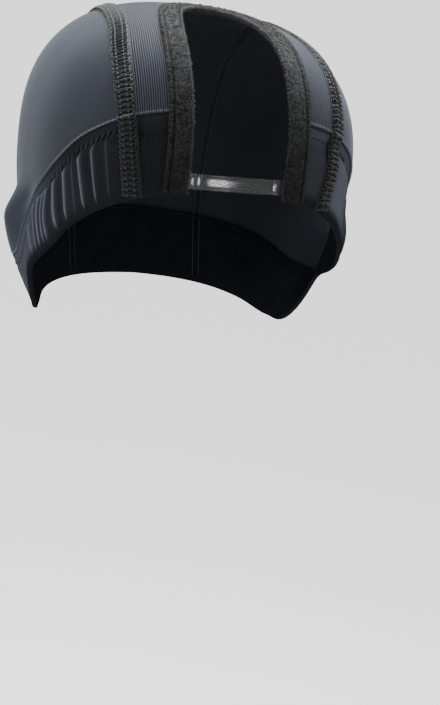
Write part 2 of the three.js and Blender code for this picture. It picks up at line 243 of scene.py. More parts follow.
def add_piece(name, points, face_sets, finish, slot, uv=None, node=None, light=None):
    """Makes a mesh piece from points in millimetres and sets of faces, and lets it ride on the cap.

    uv is its map in tenths of a metre, and light how much each point's colour is made paler or darker: mostly
    painted highlights and shade, with some random tone.
    """
    mesh = bpy.data.meshes.new(name)
    corners = np.concatenate([f.ravel() for f in face_sets])
    sizes = np.concatenate([np.full(len(f), f.shape[1]) for f in face_sets])
    mesh.vertices.add(len(points))
    mesh.vertices.foreach_set("co", (points * MM).astype(np.float32).ravel())
    mesh.loops.add(len(corners))
    mesh.loops.foreach_set("vertex_index", corners.astype(np.int32))
    mesh.polygons.add(len(sizes))
    mesh.polygons.foreach_set("loop_start", (np.cumsum(sizes) - sizes).astype(np.int32))
    mesh.update(calc_edges=True)
    if uv is not None:
        layer = mesh.uv_layers.new(name="cloth")
        layer.uv.foreach_set("vector", uv[corners].astype(np.float32).ravel())
    if light is not None:
        mark = mesh.attributes.new("light", "FLOAT", "POINT")
        mark.data.foreach_set("value", light.astype(np.float32).ravel())
    mesh.polygons.foreach_set("use_smooth", np.ones(len(sizes), bool))
    mesh.set_sharp_from_angle(angle=np.radians(60))
    piece = bpy.data.objects.new(name, mesh)
    bpy.context.scene.collection.objects.link(piece)
    mesh.materials.append(finish.material)
    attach(piece, "root")
    if node:
        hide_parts(node)
    return piece


class Wire:
    """A value in a finish's shader. Arithmetic on it adds Math nodes."""

    def __init__(self, finish, socket):
        self.finish, self.socket = finish, socket

    def __add__(self, other):
        return self.finish.math("ADD", self, other)

    def __sub__(self, other):
        return self.finish.math("SUBTRACT", self, other)

    def __rsub__(self, other):
        return self.finish.math("SUBTRACT", other, self)

    def __mul__(self, other):
        return self.finish.math("MULTIPLY", self, other)

    def __pow__(self, other):
        return self.finish.math("POWER", self, other)

    __radd__, __rmul__ = __add__, __mul__


class Finish:
    """A material with one Principled shader, whose constant sockets are set directly."""

    def __init__(self, name, fixed):
        self.material = bpy.data.materials.new(name)
        self.material.use_nodes = True
        self.tree = self.material.node_tree
        self.shader = self.tree.nodes["Principled BSDF"]
        for socket, value in fixed.items():
            self.shader.inputs[socket].default_value = value

    def node(self, kind, inputs, out=0, **settings):
        """Adds a node: settings first, then the values or wires of its sockets. Gives one output."""
        made = self.tree.nodes.new("ShaderNode" + kind)
        for key, value in settings.items():
            setattr(made, key, value)
        for key, value in inputs.items():
            if isinstance(value, Wire):
                self.tree.links.new(value.socket, made.inputs[key])
            else:
                made.inputs[key].default_value = value
        return Wire(self, made.outputs[out])

    def math(self, operation, *values):
        return self.node("Math", dict(enumerate(values)), operation=operation)

    def feed(self, socket, wire):
        self.tree.links.new(wire.socket, self.shader.inputs[socket])

    def across_and_along(self):
        """Millimetres across and along the cloth, from the piece's own map."""
        place = self.node("UVMap", {}, uv_map="cloth")
        across = self.node("SeparateXYZ", {0: place}, out=0) * 100
        along = self.node("SeparateXYZ", {0: place}, out=1) * 100
        return across, along

    def wave(self, place, pitch):
        """A wave from 0 to 1 over a pitch in millimetres."""
        return self.math("COSINE", place * (2 * np.pi / pitch)) * 0.5 + 0.5

    def noise(self, per_mm, detail):
        """Noise about 0.5 on the object's own coordinates, with so many grains to a millimetre."""
        place = self.node("TexCoord", {}, out="Object")
        inputs = {"Vector": place, "Scale": per_mm / MM, "Detail": detail, "Roughness": 0.6}
        return self.node("TexNoise", inputs)

    def colour(self, share, low, high):
        """Feeds a colour between two others to the shader."""
        mixed = self.node("Mix", {0: share, 6: (*low, 1), 7: (*high, 1)}, out=2, data_type="RGBA")
        self.feed("Base Color", mixed)

    def light(self):
        """The painted light and shade of the cloth, from the piece's own points."""
        return self.node("Attribute", {}, out="Fac", attribute_name="light")

    def bump(self, height, depth_mm):
        """Feeds a relief of that depth to the shader's normal."""
        self.feed("Normal", self.node("Bump", {"Height": height, "Distance": depth_mm * MM, "Strength": 1.0}))


STRETCH_KNIT = {
    "Specular IOR Level": 0.01, "Specular Tint": (0.75, 0.87, 1.0, 1), "Sheen Weight": 0.05,
    "Sheen Roughness": 0.4, "Sheen Tint": (0.75, 0.87, 1.0, 1),
}
RIB_PITCH, RIB_DEPTH, COLUMNS_PER_RIB, PANEL_ROWS = 0.92, 0.1, 4, 88
CLOTH, SEAM_GAP, NOTCH_COVER = 1.0, 0.4, 5.0
# On the wearer's left the ribs are drawn flat: their painted groove shade fades over one length, their relief
# over another.
GROOVE_SHADE_FADE, GROOVE_SHADE_LOST, RELIEF_FADE, RELIEF_LOST = 40.0, 0.7, 30.0, 0.75
ribbed_cloth = Finish("ribbed_cloth", STRETCH_KNIT)
across, along = ribbed_cloth.across_and_along()
rib = ribbed_cloth.wave(across, RIB_PITCH)
loop = ribbed_cloth.wave(along, 0.7)
cloud = ribbed_cloth.noise(0.05, 3.0)
own_place = ribbed_cloth.node("TexCoord", {}, out="Object")
to_left = ribbed_cloth.node("SeparateXYZ", {0: own_place}, out=0) * (1 / (GROOVE_SHADE_FADE * MM))
flat = ribbed_cloth.math("MINIMUM", ribbed_cloth.math("MAXIMUM", to_left, 0.0), GROOVE_SHADE_LOST)
# Colour: the rib stripes are painted shade in the grooves between the ribs, and the light attribute adds a
# painted highlight on the turned edges' crests.
ribbed_cloth.colour(
    (rib * (1 - flat) + flat * 0.5) * 0.42 + cloud * 0.04 + ribbed_cloth.light() * 0.9,
    (0.0006, 0.0007, 0.0009), (0.062, 0.068, 0.083),
)
ribbed_cloth.feed("Roughness", 0.5 - rib * 0.1 + cloud * 0.05)
ribbed_cloth.bump(loop * 0.35 + rib * 0.65, 0.10)

# The turned edge: a crest with a painted highlight along it.
ROLL_HEIGHT, ROLL_PLACE, ROLL_WIDTH = 0.45, 0.65, 0.45
PUCKER_PITCH, PUCKER_SHARE, DIP_DEPTH, DIP_WIDTH = 2.6, 0.18, 1.3, 0.4
FRONT_ROLL_LIGHT, INNER_RISE = 0.5, 0.2


def ripple(s, pitch):
    """A wave between -1 and 1, with a crest at every pitch."""
    return np.cos(2 * np.pi * s / pitch)


def tuck_roll(d, s):
    """Height of the turned edge above the cloth at a distance d from the tuck, and the highlight painted on
    its crest.

    It is a narrow crest, puckered along its length s, whose edge dips under the face.
    """
    crest = bell(d, ROLL_PLACE, ROLL_WIDTH)
    pucker = 1 - PUCKER_SHARE + PUCKER_SHARE * ripple(s, PUCKER_PITCH)
    return ROLL_HEIGHT * crest * pucker - DIP_DEPTH * bell(d, 0, DIP_WIDTH), crest * pucker**2


def wall(base, lift, ribs=0.0):
    """Outer and inner face of a cloth that is lifted off the head form. The lift shows on both faces where
    it is low, and ribs show on the outer face alone."""
    return lifted(base, lift + ribs), lifted(base, np.minimum(lift, INNER_RISE) - CLOTH)


def middle_panel():
    """Columns run along the ribs, from the tuck or the notch over the crown to the tuck at the nape.

    A column's distance from the middle plane keeps its share of the seam's. The notch edge lies hidden
    in the binding, where the column meets a line a few millimetres outside the opening.
    """
    ribs = int(2 * seam_half_width(45.0) / RIB_PITCH)
    share = np.linspace(-1, 1, ribs * COLUMNS_PER_RIB + 1)

    def x_at(angle):
        return share * (seam_half_width(angle) - SEAM_GAP)

    edge, out, _ = opening_edge(1.0)
    notch = onto_cloth(edge + out * NOTCH_COVER)[: len(edge) // 2]
    notch_angle = np.degrees(np.arctan2(notch[:, 2], -notch[:, 1]))
    notch_share = notch[:, 0] / (seam_half_width(notch_angle) - SEAM_GAP)
    order = np.argsort(notch_share)
    notch_start = np.interp(np.abs(share), notch_share[order], notch_angle[order], right=-90)
    tuck_front, tuck_back = crossings(x_at, tuck_height)
    start = np.maximum(tuck_front, notch_start)
    step = (1 - np.cos(np.linspace(0, np.pi, PANEL_ROWS))) / 2
    angle = start + (tuck_back - start) * step[:, None]
    x = x_at(angle)
    base = at_sagittal(x, angle)
    run = lengths_along(base)
    rib_place = np.arange(len(share)) * RIB_PITCH / COLUMNS_PER_RIB
    # Painted highlight on the crests of the turned edges, the front one only where it is turned, at half
    # strength.
    back_lift, back_light = tuck_roll(run[-1] - run, rib_place)
    front_lift, front_light = tuck_roll(run, rib_place)
    turned = start < tuck_front + 0.01
    lift = back_lift + turned * front_lift
    light = back_light + turned * front_light * FRONT_ROLL_LIGHT
    rib_wave = RIB_DEPTH * ripple(rib_place, RIB_PITCH)
    rib_wave = rib_wave * (1 - RELIEF_LOST * np.clip(x / RELIEF_FADE, 0, 1))
    points, faces = shell(*wall(base, lift, rib_wave))
    return points, faces, *both_faces(np.stack([np.broadcast_to(rib_place, run.shape), run], -1), light)


points, faces, uv, light = middle_panel()
panel = add_piece("middle_panel_knit", points, faces, ribbed_cloth, "ribbed_cloth", uv, "middle_panel", light)


# Side panels: smooth stretch knit over the temples and the ears, cut in the same cloth as the middle one
# but without ribs. Their lower edges are turned in at the tuck.
smooth_cloth = Finish("smooth_cloth", STRETCH_KNIT)
across, along = smooth_cloth.across_and_along()
wale = smooth_cloth.wave(across, 0.8)
course = smooth_cloth.wave(along, 0.8)
cloud = smooth_cloth.noise(0.04, 4.0)
grain = smooth_cloth.noise(0.7, 3.0)
smooth_cloth.colour(
    wale * 0.05 + course * 0.03 + cloud * 0.06 + grain * 0.08 + smooth_cloth.light() * 0.8 - 0.025,
    (0.0076, 0.0087, 0.0111), (0.085, 0.093, 0.114),
)
smooth_cloth.feed("Roughness", 0.44 + cloud * 0.1)
smooth_cloth.bump(wale * 0.6 + course * 0.4, 0.05)


def cloth_between(line_a, line_b, shares):
    """Cloth points between two lines, along great circles about the middle of the head."""
    to_a, to_b = unit(line_a - HEART), unit(line_b - HEART)
    turn = np.arccos(np.clip((to_a * to_b).sum(-1), -1, 1))[None, :, None]
    v = shares[:, None, None]
    return meet_cloth(HEART, unit(to_a * np.sin((1 - v) * turn) + to_b * np.sin(v * turn)))


SIDE_COLUMNS, SIDE_ROWS, ROW_POWER, CORNER = 400, 64, 1.7, 0.006
FOLD_BACK, FOLD_HEIGHT, FOLD_DEPTH, FOLD_WIDTH, FOLD_LENGTH, FOLD_PAINTED_SHADE = -10.0, -26.0, 0.8, 7.0, 18.0, 0.05


def side_panel():
    """Rows from the seam down to the tuck, closer together near the tuck, where the edge is rolled and gets a
    painted highlight. Above the ear the cloth sinks into a soft slanting fold, with painted shade in it."""

    def seam_out(angle):
        return seam_half_width(angle) + SEAM_GAP

    ends = crossings(seam_out, tuck_height)
    share = np.linspace(CORNER, 1 - CORNER, SIDE_COLUMNS)
    angle = ends[0] + (ends[1] - ends[0]) * share
    seam = at_sagittal(seam_out(angle), angle)
    ends = azimuth_of(at_sagittal(seam_out(ends), ends))
    azimuth = ends[0] + (ends[1] - ends[0]) * share
    tuck = at_azimuth(azimuth, tuck_height(azimuth))
    rows = 1 - np.linspace(1, 0, SIDE_ROWS) ** ROW_POWER
    base = cloth_between(seam, tuck, rows)
    run = lengths_along(base)
    along = lengths_along(base.transpose(1, 0, 2)).T
    lift, light = tuck_roll(run[-1] - run, along)
    back, up = base[..., 1] - FOLD_BACK, base[..., 2] - FOLD_HEIGHT
    fold = bell(back + up, 0, FOLD_WIDTH) * bell(back - up, 0, FOLD_LENGTH)
    # The fold gets painted shade.
    lift, light = lift - FOLD_DEPTH * fold, light - FOLD_PAINTED_SHADE * fold
    return *wall(base, lift), *both_faces(np.stack([along, run], -1), light)


SIDES = (("left", 1), ("right", -1))
outer, inner, uv, light = side_panel()
for side, mirror in SIDES:
    points, faces = shell(outer * [mirror, 1, 1], inner * [mirror, 1, 1])
    name = f"side_panel_{side}"
    panel = add_piece(name + "_knit", points, faces, smooth_cloth, "smooth_cloth", uv, name, light)


# Flatlock seams: the panels' edges are butted and covered with a ladder of bulky looper thread, held down
# by two lines of needle thread, with a finer line of stitches along each edge. Inside, the same needles
# leave plain rows of stitches.
SEAM_WIDTH, SEAM_BED, SEAM_STATIONS = 8.6, 0.5, 900
seam_thread = Finish("seam_thread", {
    "Specular IOR Level": 0.08, "Sheen Weight": 0.04, "Sheen Roughness": 0.4,
})
fluff = seam_thread.noise(1.5, 3.0)
tone = seam_thread.noise(0.3, 2.0)
seam_thread.colour(
    (fluff * 0.22 + tone * 0.14 + seam_thread.light() * 0.65) ** 1.8,
    (0.0015, 0.0016, 0.0018), (0.100, 0.104, 0.112),
)
seam_thread.feed("Roughness", 0.5 + fluff * 0.25)
seam_thread.bump(fluff, 0.2)


def seam_line():
    """The wearer's left seam from the front rim to the back rim, the length along it, and at which lengths
    and azimuths it crosses the tuck."""
    angle = np.linspace(*crossings(seam_half_width, rim_height), SEAM_STATIONS)
    tucks = crossings(seam_half_width, tuck_height)
    line = at_sagittal(seam_half_width(angle), angle)
    lengths = lengths_along(line)
    azimuths = azimuth_of(at_sagittal(seam_half_width(tucks), tucks))
    return line, lengths, np.interp(tucks, angle, lengths), azimuths


SEAM, SEAM_LENGTHS, SEAM_TUCKS, (SEAM_AZIMUTH, SEAM_BACK_AZIMUTH) = seam_line()
HEM_SINK, STITCH_PLACE, STRIP_DEPTH, SEAM_END = 0.5, 4.6, 1.9, 1.6
BEAD_HEIGHT, BEAD_PLACE, BEAD_WIDTH, RIM_ROLL, UNDER_PANELS = 0.4, 1.4, 0.9, 1.6, 1.2
CREST_HEIGHT, CREST_PLACE, CREST_WIDTH = 0.3, 0.6, 0.6
SEAM_STRIP_DEPTH, SEAM_SETTLING, STEP_DOWN, ABOVE_TUCK = 0.95, 9.0, 0.8, -0.05


def eased(x, start, span):
    """From 0 to 1 over a span, level at both ends."""
    t = np.clip((x - start) / span, 0, 1)
    return t * t * (3 - 2 * t)


def hem_profile(run, to_rim, strip, settling):
    """Height of the flat hem against the cloth, by the distances from the tuck and to the rim.

    Above the tuck it lies under the panels. From the tuck it slopes in to the row of stitches, comes out
    again below them, and ends in a rolled bead.
    """
    slope_in = -strip * np.clip(run / STITCH_PLACE, 0, 1) * (1 - eased(run, STITCH_PLACE, settling))
    bead = BEAD_HEIGHT * bell(to_rim, BEAD_PLACE, BEAD_WIDTH)
    turned = 1 - np.clip(to_rim / RIM_ROLL, 0, 1)
    roll = RIM_ROLL * (np.sqrt(1 - turned**2) - 1)
    return np.where(run < ABOVE_TUCK, -UNDER_PANELS, slope_in - HEM_SINK + bead + roll)


def seam_crest(s):
    """From 0 to 1 where the seam passes over the crest of the tuck, in front and at the back."""
    front, back = SEAM_TUCKS[0] + CREST_PLACE, SEAM_TUCKS[1] - CREST_PLACE
    return bell(s, front, CREST_WIDTH) + bell(s, back, CREST_WIDTH)


def seam_ground(s):
    """Height of what the seam lies on: the panels, the crest at the tuck, and the flat hem at both ends."""
    height = CREST_HEIGHT * seam_crest(s)
    for run, to_rim in ((SEAM_TUCKS[0] - s, s), (s - SEAM_TUCKS[1], SEAM_LENGTHS[-1] - s)):
        on_hem = hem_profile(np.maximum(run, 0), to_rim, SEAM_STRIP_DEPTH, SEAM_SETTLING)
        height = height + on_hem * eased(run, 0, STEP_DOWN)
    return height


def beside_seam(s, across, height):
    """Points at a length along the seam, so far across it, and so high off the cloth, with the normals."""
    path = at_lengths(s, SEAM_LENGTHS, SEAM)
    ahead = at_lengths(s, SEAM_LENGTHS, np.gradient(SEAM, axis=0))
    side = unit(np.cross(unit(ahead), cloth_normal(path)))
    spot = onto_cloth(path + side * np.asarray(across)[..., None])
    normal = cloth_normal(spot)
    return spot + normal * (height + seam_ground(s))[..., None], normal


THREAD_SIDES = 5


def tube(line, normal, radius, flatten=1.0):
    """A thread along a line: rings at right angles to it, and both ends closed."""
    ahead = unit(np.gradient(line, axis=0))
    beside = unit(np.cross(ahead, normal))
    above = np.cross(beside, ahead)
    turn = np.linspace(0, 2 * np.pi, THREAD_SIDES, endpoint=False) + np.pi / 2
    radius = np.broadcast_to(radius, len(line))[:, None, None]
    ring = beside[:, None] * np.cos(turn)[:, None] + above[:, None] * np.sin(turn)[:, None] * flatten
    points = (line[:, None] + ring * radius).reshape(-1, 3)
    index = np.arange(len(line) * THREAD_SIDES).reshape(len(line), THREAD_SIDES)
    after = np.roll(index, -1, axis=1)
    quads = np.stack([index[:-1], after[:-1], after[1:], index[1:]], -1).reshape(-1, 4)
    return points, [quads, index[:1, ::-1], index[-1:]]


def carried(rings):
    """Skin of a closed section that is carried along a line, with both ends closed."""
    index = np.arange(rings.shape[0] * rings.shape[1]).reshape(rings.shape[:2])
    after = np.roll(index, -1, axis=1)
    quads = np.stack([index[:-1], index[1:], after[1:], after[:-1]], -1).reshape(-1, 4)
    return rings.reshape(-1, 3), [quads, index[:1], index[-1:, ::-1]]


def joined(parts):
    """Points and face sets of several parts as one."""
    starts = np.cumsum([0] + [len(points) for points, _ in parts])
    sets = [f + start for (_, faces), start in zip(parts, starts) for f in faces]
    return np.concatenate([points for points, _ in parts]), sets


def on_side(points, sets, mirror):
    """Points and face sets as they are on the wearer's left, or mirrored to the right."""
    return points * [mirror, 1, 1], [f if mirror > 0 else f[:, ::-1] for f in sets]


BED_STATIONS, BED_PROFILE = 380, np.array([
    (-0.5, 0.08), (0.5, 0.08), (0.48, 0.7), (0.3, 0.9), (0, 1.1), (-0.3, 0.9), (-0.48, 0.7),
])
RUNG_PITCH, RUNG_ARCH, RUNG_FLATNESS, RUNG_LIGHT = 2.4, 0.22, 0.85, 0.2
SPREAD_ALONG, SPREAD_ACROSS, SPREAD_UP = 0.035, 0.1, 0.04
# Looper threads: two that lie rung by rung against each other, and a finer one between the needle lines.
# Columns: start along the seam, reach to each side, radius, height.
LOOPERS = ((0.2, 3.75, 0.42, 0.88), (3.2, 3.75, 0.42, 1.0), (1.2, 1.75, 0.36, 0.7))
# Lines on both sides of the middle: needle lines, edge lines, rows inside. Columns: distance from the middle,
# sway, height, hop, radius, swelling, light, painted highlight on the knots, length left free at the ends.
LINES = (
    (1.75, 0.12, 1.16, 0.3, 0.3, 0.1, 0.0, 0.6, 0.0),
    (4.4, 0.22, 0.32, 0.1, 0.2, 0.0, 0.3, 0.35, 0.0),
    (1.75, 0.0, -1.62, 0.18, 0.3, 0.0, 0.3, 0.0, 4.0),
)
LINE_STEP, CREST_LIGHT = 0.4, 0.5
# How much painted shade darkens the threads at the front rim, and over which length along the seam it fades.
RIM_SHADE, SHADE_START, SHADE_FADE = 0.2, 20.0, 45.0
rng = np.random.default_rng(7)


def rung_thread(first, reach, radius, height):
    """A looper thread that goes to and fro across the seam, once for each stitch. Rungs vary a little."""
    half = np.array([(0.22, 0.02, 1), (0.62, 0.07, 0.8), (0.96, 0.2, 0.3), (1, 0.4, 0)])
    across, step, arch = np.concatenate([half[::-1] * [-1, -1, 1], half]).T
    count = int((SEAM_LENGTHS[-1] - SEAM_END - first) / RUNG_PITCH) - 1
    rung = np.arange(count)[:, None]
    s = first + (rung + 1 + step + rng.normal(0, SPREAD_ALONG, (count, 1))) * RUNG_PITCH
    w = np.where(rung % 2, -1, 1) * across * reach + rng.normal(0, SPREAD_ACROSS, (count, 1))
    h = height + RUNG_ARCH * arch + rng.normal(0, SPREAD_UP, (count, 1))
    line, normal = beside_seam(s.ravel(), w.ravel(), h.ravel())
    return tube(line, normal, radius, RUNG_FLATNESS), s.ravel()


def flatlock(mirror):
    """The seam's bed, the looper threads, and the lines along it. Gives points, faces and light."""
    s = np.linspace(SEAM_END, SEAM_LENGTHS[-1] - SEAM_END, BED_STATIONS)
    bed = [beside_seam(s, 0 * s + w * SEAM_WIDTH, 0 * s + h * SEAM_BED)[0] for w, h in BED_PROFILE]
    parts = [carried(np.stack(bed, 1))]
    light = [np.zeros(len(s) * len(BED_PROFILE))]

    def lay(thread, place, pale):
        parts.append(thread)
        # Painted light: a highlight where the seam passes over the tuck's crest, and painted shade towards
        # the front rim.
        shade = RIM_SHADE * (1 - eased(place, SHADE_START, SHADE_FADE))
        light.append(np.repeat(pale + CREST_LIGHT * seam_crest(place) - shade, THREAD_SIDES))

    for looper in LOOPERS:
        lay(*rung_thread(*looper), RUNG_LIGHT)
    for distance, sway, height, rise, radius, swelling, pale, knot_pale, free in LINES:
        s = np.arange(SEAM_END, SEAM_LENGTHS[-1] - SEAM_END, LINE_STEP)
        s = s[(s > free) & (s < SEAM_LENGTHS[-1] - free)]
        hop = ripple(s, RUNG_PITCH)
        for across in (-distance, distance):
            line, normal = beside_seam(s, across + sway * hop, height + rise * hop)
            lay(tube(line, normal, radius + swelling * hop), s, pale + knot_pale * np.clip(hop, 0, 1))
    return *on_side(*joined(parts), mirror), np.concatenate(light)


for side, mirror in SIDES:
    points, sets, light = flatlock(mirror)
    name = f"flatlock_seam_{side}"
    add_piece(name + "_thread", points, sets, seam_thread, "seam_thread", None, name, light)


# Elastic hem: the cloth below the tuck is turned up over an elastic and stitched through, so it hugs the
# head. It slopes in from the tuck to the stitches, lies flat in front of the seams, and is drawn into
# leaning gathers behind them, down to a narrow rolled rim.
GATHER_DEPTH, STITCH_PITCH, EAR_STRIP_DEPTH = 1.6, 3.0, 0.45
COLUMN_STEP, FRONT_COLUMNS = 0.34, 44
# The hem is the panels' cloth with a darker base colour, which is painted shade of this low band; its light
# attribute paints it paler where light falls.
hem_cloth = Finish("hem_cloth", {**STRETCH_KNIT, "Specular IOR Level": 0.0, "Sheen Weight": 0.0})
across, along = hem_cloth.across_and_along()
rib = hem_cloth.wave(across, RIB_PITCH)
course = hem_cloth.wave(along, 0.8)
cloud = hem_cloth.noise(0.06, 3.0)
hem_cloth.colour(
    rib * 0.05 + course * 0.01 + cloud * 0.03 + hem_cloth.light() * 0.75,
    (0.0011, 0.0012, 0.0015), (0.105, 0.114, 0.138),
)
hem_cloth.feed("Roughness", 0.46 + cloud * 0.1 - hem_cloth.light() * 0.1)
hem_cloth.bump(rib * 0.65 + course * 0.35, 0.05)

# Columns: azimuth at the tuck, degrees that a gather runs forward from the tuck to the rim.
GATHER_LEAN = (
    (30, 4), (45.6, 6.1), (51, 7.3), (57.4, 7.6), (62.7, 9.5), (66, 7), (70, 4.5), (85, 2), (140, 6), (180, 0)
)
gather_lean = smooth_column(*zip(*GATHER_LEAN))
# Azimuth and height of the gathers at half height, on the wearer's right in front of the ear.
SEEN_GATHERS = (
    (38.2, 0.3), (42.6, 0.75), (47.3, 1.0), (50.6, 0.3), (53.6, 1.0), (58.0, 0.9), (61.6, 0.8), (63.8, 0.75),
    (67.0, 0.8), (71.0, 0.75), (76.5, 0.8),
)
# The wearer's left lies smoother: first gather, spacing, and height against the others.
LEFT_FIRST, GATHER_SPACING, LEFT_HEIGHT = 40.0, 5.2, 0.22
# Where along the azimuth the gathers behind the ear grow: start, span.
BEHIND_EAR = 90.0, 30.0


def gather_table(place, height):
    """Places, heights and widths of one side's gathers: the given ones, then evenly spread ones with some
    irregularity round to the back."""
    rest = np.arange(place[-1] + GATHER_SPACING, 179.0, GATHER_SPACING)
    place = np.concatenate([place, rest + rng.uniform(-1.1, 1.1, len(rest))])
    rest_height = rng.uniform(0.6, 1.1, len(rest)) * (0.35 + 0.55 * eased(rest, *BEHIND_EAR))
    height = np.concatenate([height, rest_height])
    return place + gather_lean(place + 3) / 2, height, rng.uniform(0.8, 1.3, len(place))


EDGE_AZIMUTH, EDGE_COVER, FRONT_SPAN = 16.0, 3.0, 15.0


def hem_grid():
    """Rows from just above the tuck to the rim, and columns from the opening to the middle of the back, which
    lean as the gathers do behind the seam. Gives points on the head form, the azimuth at the tuck, the length
    below the tuck, and its share."""
    down = np.concatenate([
        [-0.05, -0.01], np.linspace(0, 0.2, 17)[:-1], np.linspace(0.2, 0.86, 14)[:-1],
        1 - 0.14 * np.linspace(1, 0, 15) ** 1.4,
    ])[:, None]
    edge_z = tuck_height(EDGE_AZIMUTH) * (1 - down[:, 0]) + rim_height(EDGE_AZIMUTH) * down[:, 0]
    edge_x = np.full(len(edge_z), OPENING_HALF_WIDTH + EDGE_COVER)
    edge = meet_cloth(np.stack([edge_x, 0 * edge_z, edge_z], -1), np.array([0.0, -1.0, 0.0]))
    share = np.linspace(0, 1, FRONT_COLUMNS + 1)[:-1][None]
    seam_side = SEAM_AZIMUTH - gather_lean(SEAM_AZIMUTH) * down
    flat = azimuth_of(edge)[:, None] * (1 - share) + seam_side * share
    azimuth = np.linspace(SEAM_AZIMUTH, 180, int((180 - SEAM_AZIMUTH) / COLUMN_STEP) + 1)[None]
    turn = np.concatenate([flat, azimuth - gather_lean(azimuth) * down], 1)
    label = np.concatenate([SEAM_AZIMUTH - FRONT_SPAN * (1 - share), azimuth], 1)
    tuck = tuck_height(turn) - 0.1
    base = at_azimuth(turn, tuck + (rim_height(turn) - tuck) * down)
    run = lengths_along(base)
    return base, label, run - run[2], down


HEM_BASE, HEM_LABEL, HEM_RUN, HEM_DOWN = hem_grid()
HEM_RADIUS = 88.0
MM_PER_DEGREE = np.radians(HEM_RADIUS)
# Start and span along the azimuth: the ear's cloth comes in, the painted light on the flat front ends, the
# strip above the stitches is painted paler, the gathers' painted highlight lines fade, the painted light over
# the ear fades.
EAR, FLAT_FRONT, PALE_STRIP, FADING_LINES, FADING_EAR = (66, 16), (48, 16), (54, 28), (80, 20), (92, 20)
EAR_LIFT, SETTLING, SEAM_HOLD, RIM_HOLD, HELD_BY_SEAM = 0.35, 4.0, 6.0, (2.0, 6.0), 5.0
HEM_THICK, RIM_THINNING, RIM_THIN_WIDTH, TUCK_THINNING = 1.25, 0.9, 0.7, 0.6
GATHER_SINK, STITCH_PUCKER, PUCKER_REACH, STITCH_SLANT = 0.45, 0.3, 1.2, 0.75
SCALLOP, SCALLOP_PITCH, SCALLOP_PLACE = 0.14, 2.3, 3.2
# Shares of a gather's width: how far it falls off in front and behind, the painted highlight line on it, its
# painted pale flanks.
STEEP, SLOW, HIGHLIGHT_LINE, HIGHLIGHT_FLANKS = 0.6, 1.6, 0.4, 1.3
# Painted light: highlight lines and flanks of the gathers, highlight and shade on the stitches' puckers,
# light over the ear, random bands of tone; the slit at the tuck with painted shade, the strip above the
# stitches, and its paler part behind.
LINE_LIGHT, FLANK_LIGHT, STITCH_LIGHT, EAR_LIGHT, BAND_LIGHT = 0.85, 0.1, 0.16, 0.26, 0.04
SLIT_WIDTH, STRIP_LIGHT, PALE_STRIP_LIGHT = 0.9, 0.03, 0.25


def hem_half(gathers, flat_painted_light):
    """Outer face, inner face and painted light of one side. Each gather is a crest that falls off steeply in
    front and slowly behind, and dies out into a rolled bead at the rim; its crest gets a painted highlight
    line. Where the hem lies flat in front and over the ear, it is painted a little paler, as if lit, and the
    rolled rim gets no painted light and stays dark."""
    label, run = HEM_LABEL, HEM_RUN
    along, to_rim = label * MM_PER_DEGREE, run[-1] - run
    gather, crest = np.zeros(run.shape), np.zeros(run.shape)
    for place, height, width in zip(*gathers):
        off = (along - along[0, np.abs(label[0] - place).argmin()]) / width
        steep, slow = np.exp(-(np.abs(off / STEEP) ** 1.5)), np.exp(-np.abs(off / SLOW))
        gather = np.maximum(gather, height * np.where(off < 0, steep, slow))
        line, flanks = bell(off, 0, HIGHLIGHT_LINE * (1 - 0.3 * HEM_DOWN)), bell(off, 0, HIGHLIGHT_FLANKS)
        crest = np.maximum(crest, height**1.6 * (LINE_LIGHT * line + FLANK_LIGHT * flanks))
    # Shares from 0 to 1: free of the seams' stitches, below the hem's stitches, above the rim, over the ear.
    off_back_seam = np.abs(label - SEAM_BACK_AZIMUTH)
    free = eased(label, SEAM_AZIMUTH, SEAM_HOLD) * eased(off_back_seam, HELD_BY_SEAM, SEAM_HOLD)
    settle = eased(run, STITCH_PLACE, SETTLING)
    hold = eased(to_rim, *RIM_HOLD)
    behind = eased(label, *EAR)
    strip = STRIP_DEPTH + (EAR_STRIP_DEPTH - STRIP_DEPTH) * behind
    wave = ripple(along - (run - STITCH_PLACE) * STITCH_SLANT, STITCH_PITCH)
    wave = wave * free * bell(run, STITCH_PLACE, PUCKER_REACH)
    scallop = SCALLOP * free * ripple(along, SCALLOP_PITCH) * bell(to_rim, SCALLOP_PLACE, 1)
    lift = hem_profile(run, to_rim, strip, SETTLING * (3 - 2 * free)) + EAR_LIFT * behind * (run > ABOVE_TUCK)
    lift = lift + STITCH_PUCKER * wave + scallop
    lift = lift + settle * free * hold * (gather * GATHER_DEPTH - GATHER_SINK)
    thick = HEM_THICK - RIM_THINNING * bell(to_rim, 0, RIM_THIN_WIDTH) - TUCK_THINNING * (run < ABOVE_TUCK)
    outer = lifted(HEM_BASE, lift)
    inner = lifted(HEM_BASE, np.minimum(lift, 0) * 0.6 - 0.5 - thick)
    # Painted light below the stitches, none on the rolled rim; then above them, with painted shade in the
    # slit at the tuck; and at last painted highlight and shade on the waves that they draw.
    band = np.interp(label, np.arange(15, 190, 2.3), rng.uniform(0, 1, 77))
    in_front = flat_painted_light * (1 - eased(label, *FLAT_FRONT))
    pale = in_front * (0.3 + 0.7 * free) + behind * (EAR_LIGHT - 0.1 * eased(label, *FADING_EAR))
    crest = crest * (1 - 0.5 * eased(label, *FADING_LINES))
    light = settle * hold * (pale + free * (crest + BAND_LIGHT * band * (1 - behind)))
    slit = (1 - 0.8 * behind) * bell(run, 0, SLIT_WIDTH)
    strip_light = STRIP_LIGHT + 0.6 * in_front + PALE_STRIP_LIGHT * eased(label, *PALE_STRIP)
    light = light + (1 - settle) * (1 - slit) * strip_light
    light = light + STITCH_LIGHT * wave * (1 - 0.6 * behind)
    return outer, inner, light


left_places = np.arange(LEFT_FIRST, 77.0, GATHER_SPACING)
left_heights = LEFT_HEIGHT + (0.75 - LEFT_HEIGHT) * eased(left_places, 50, 16)
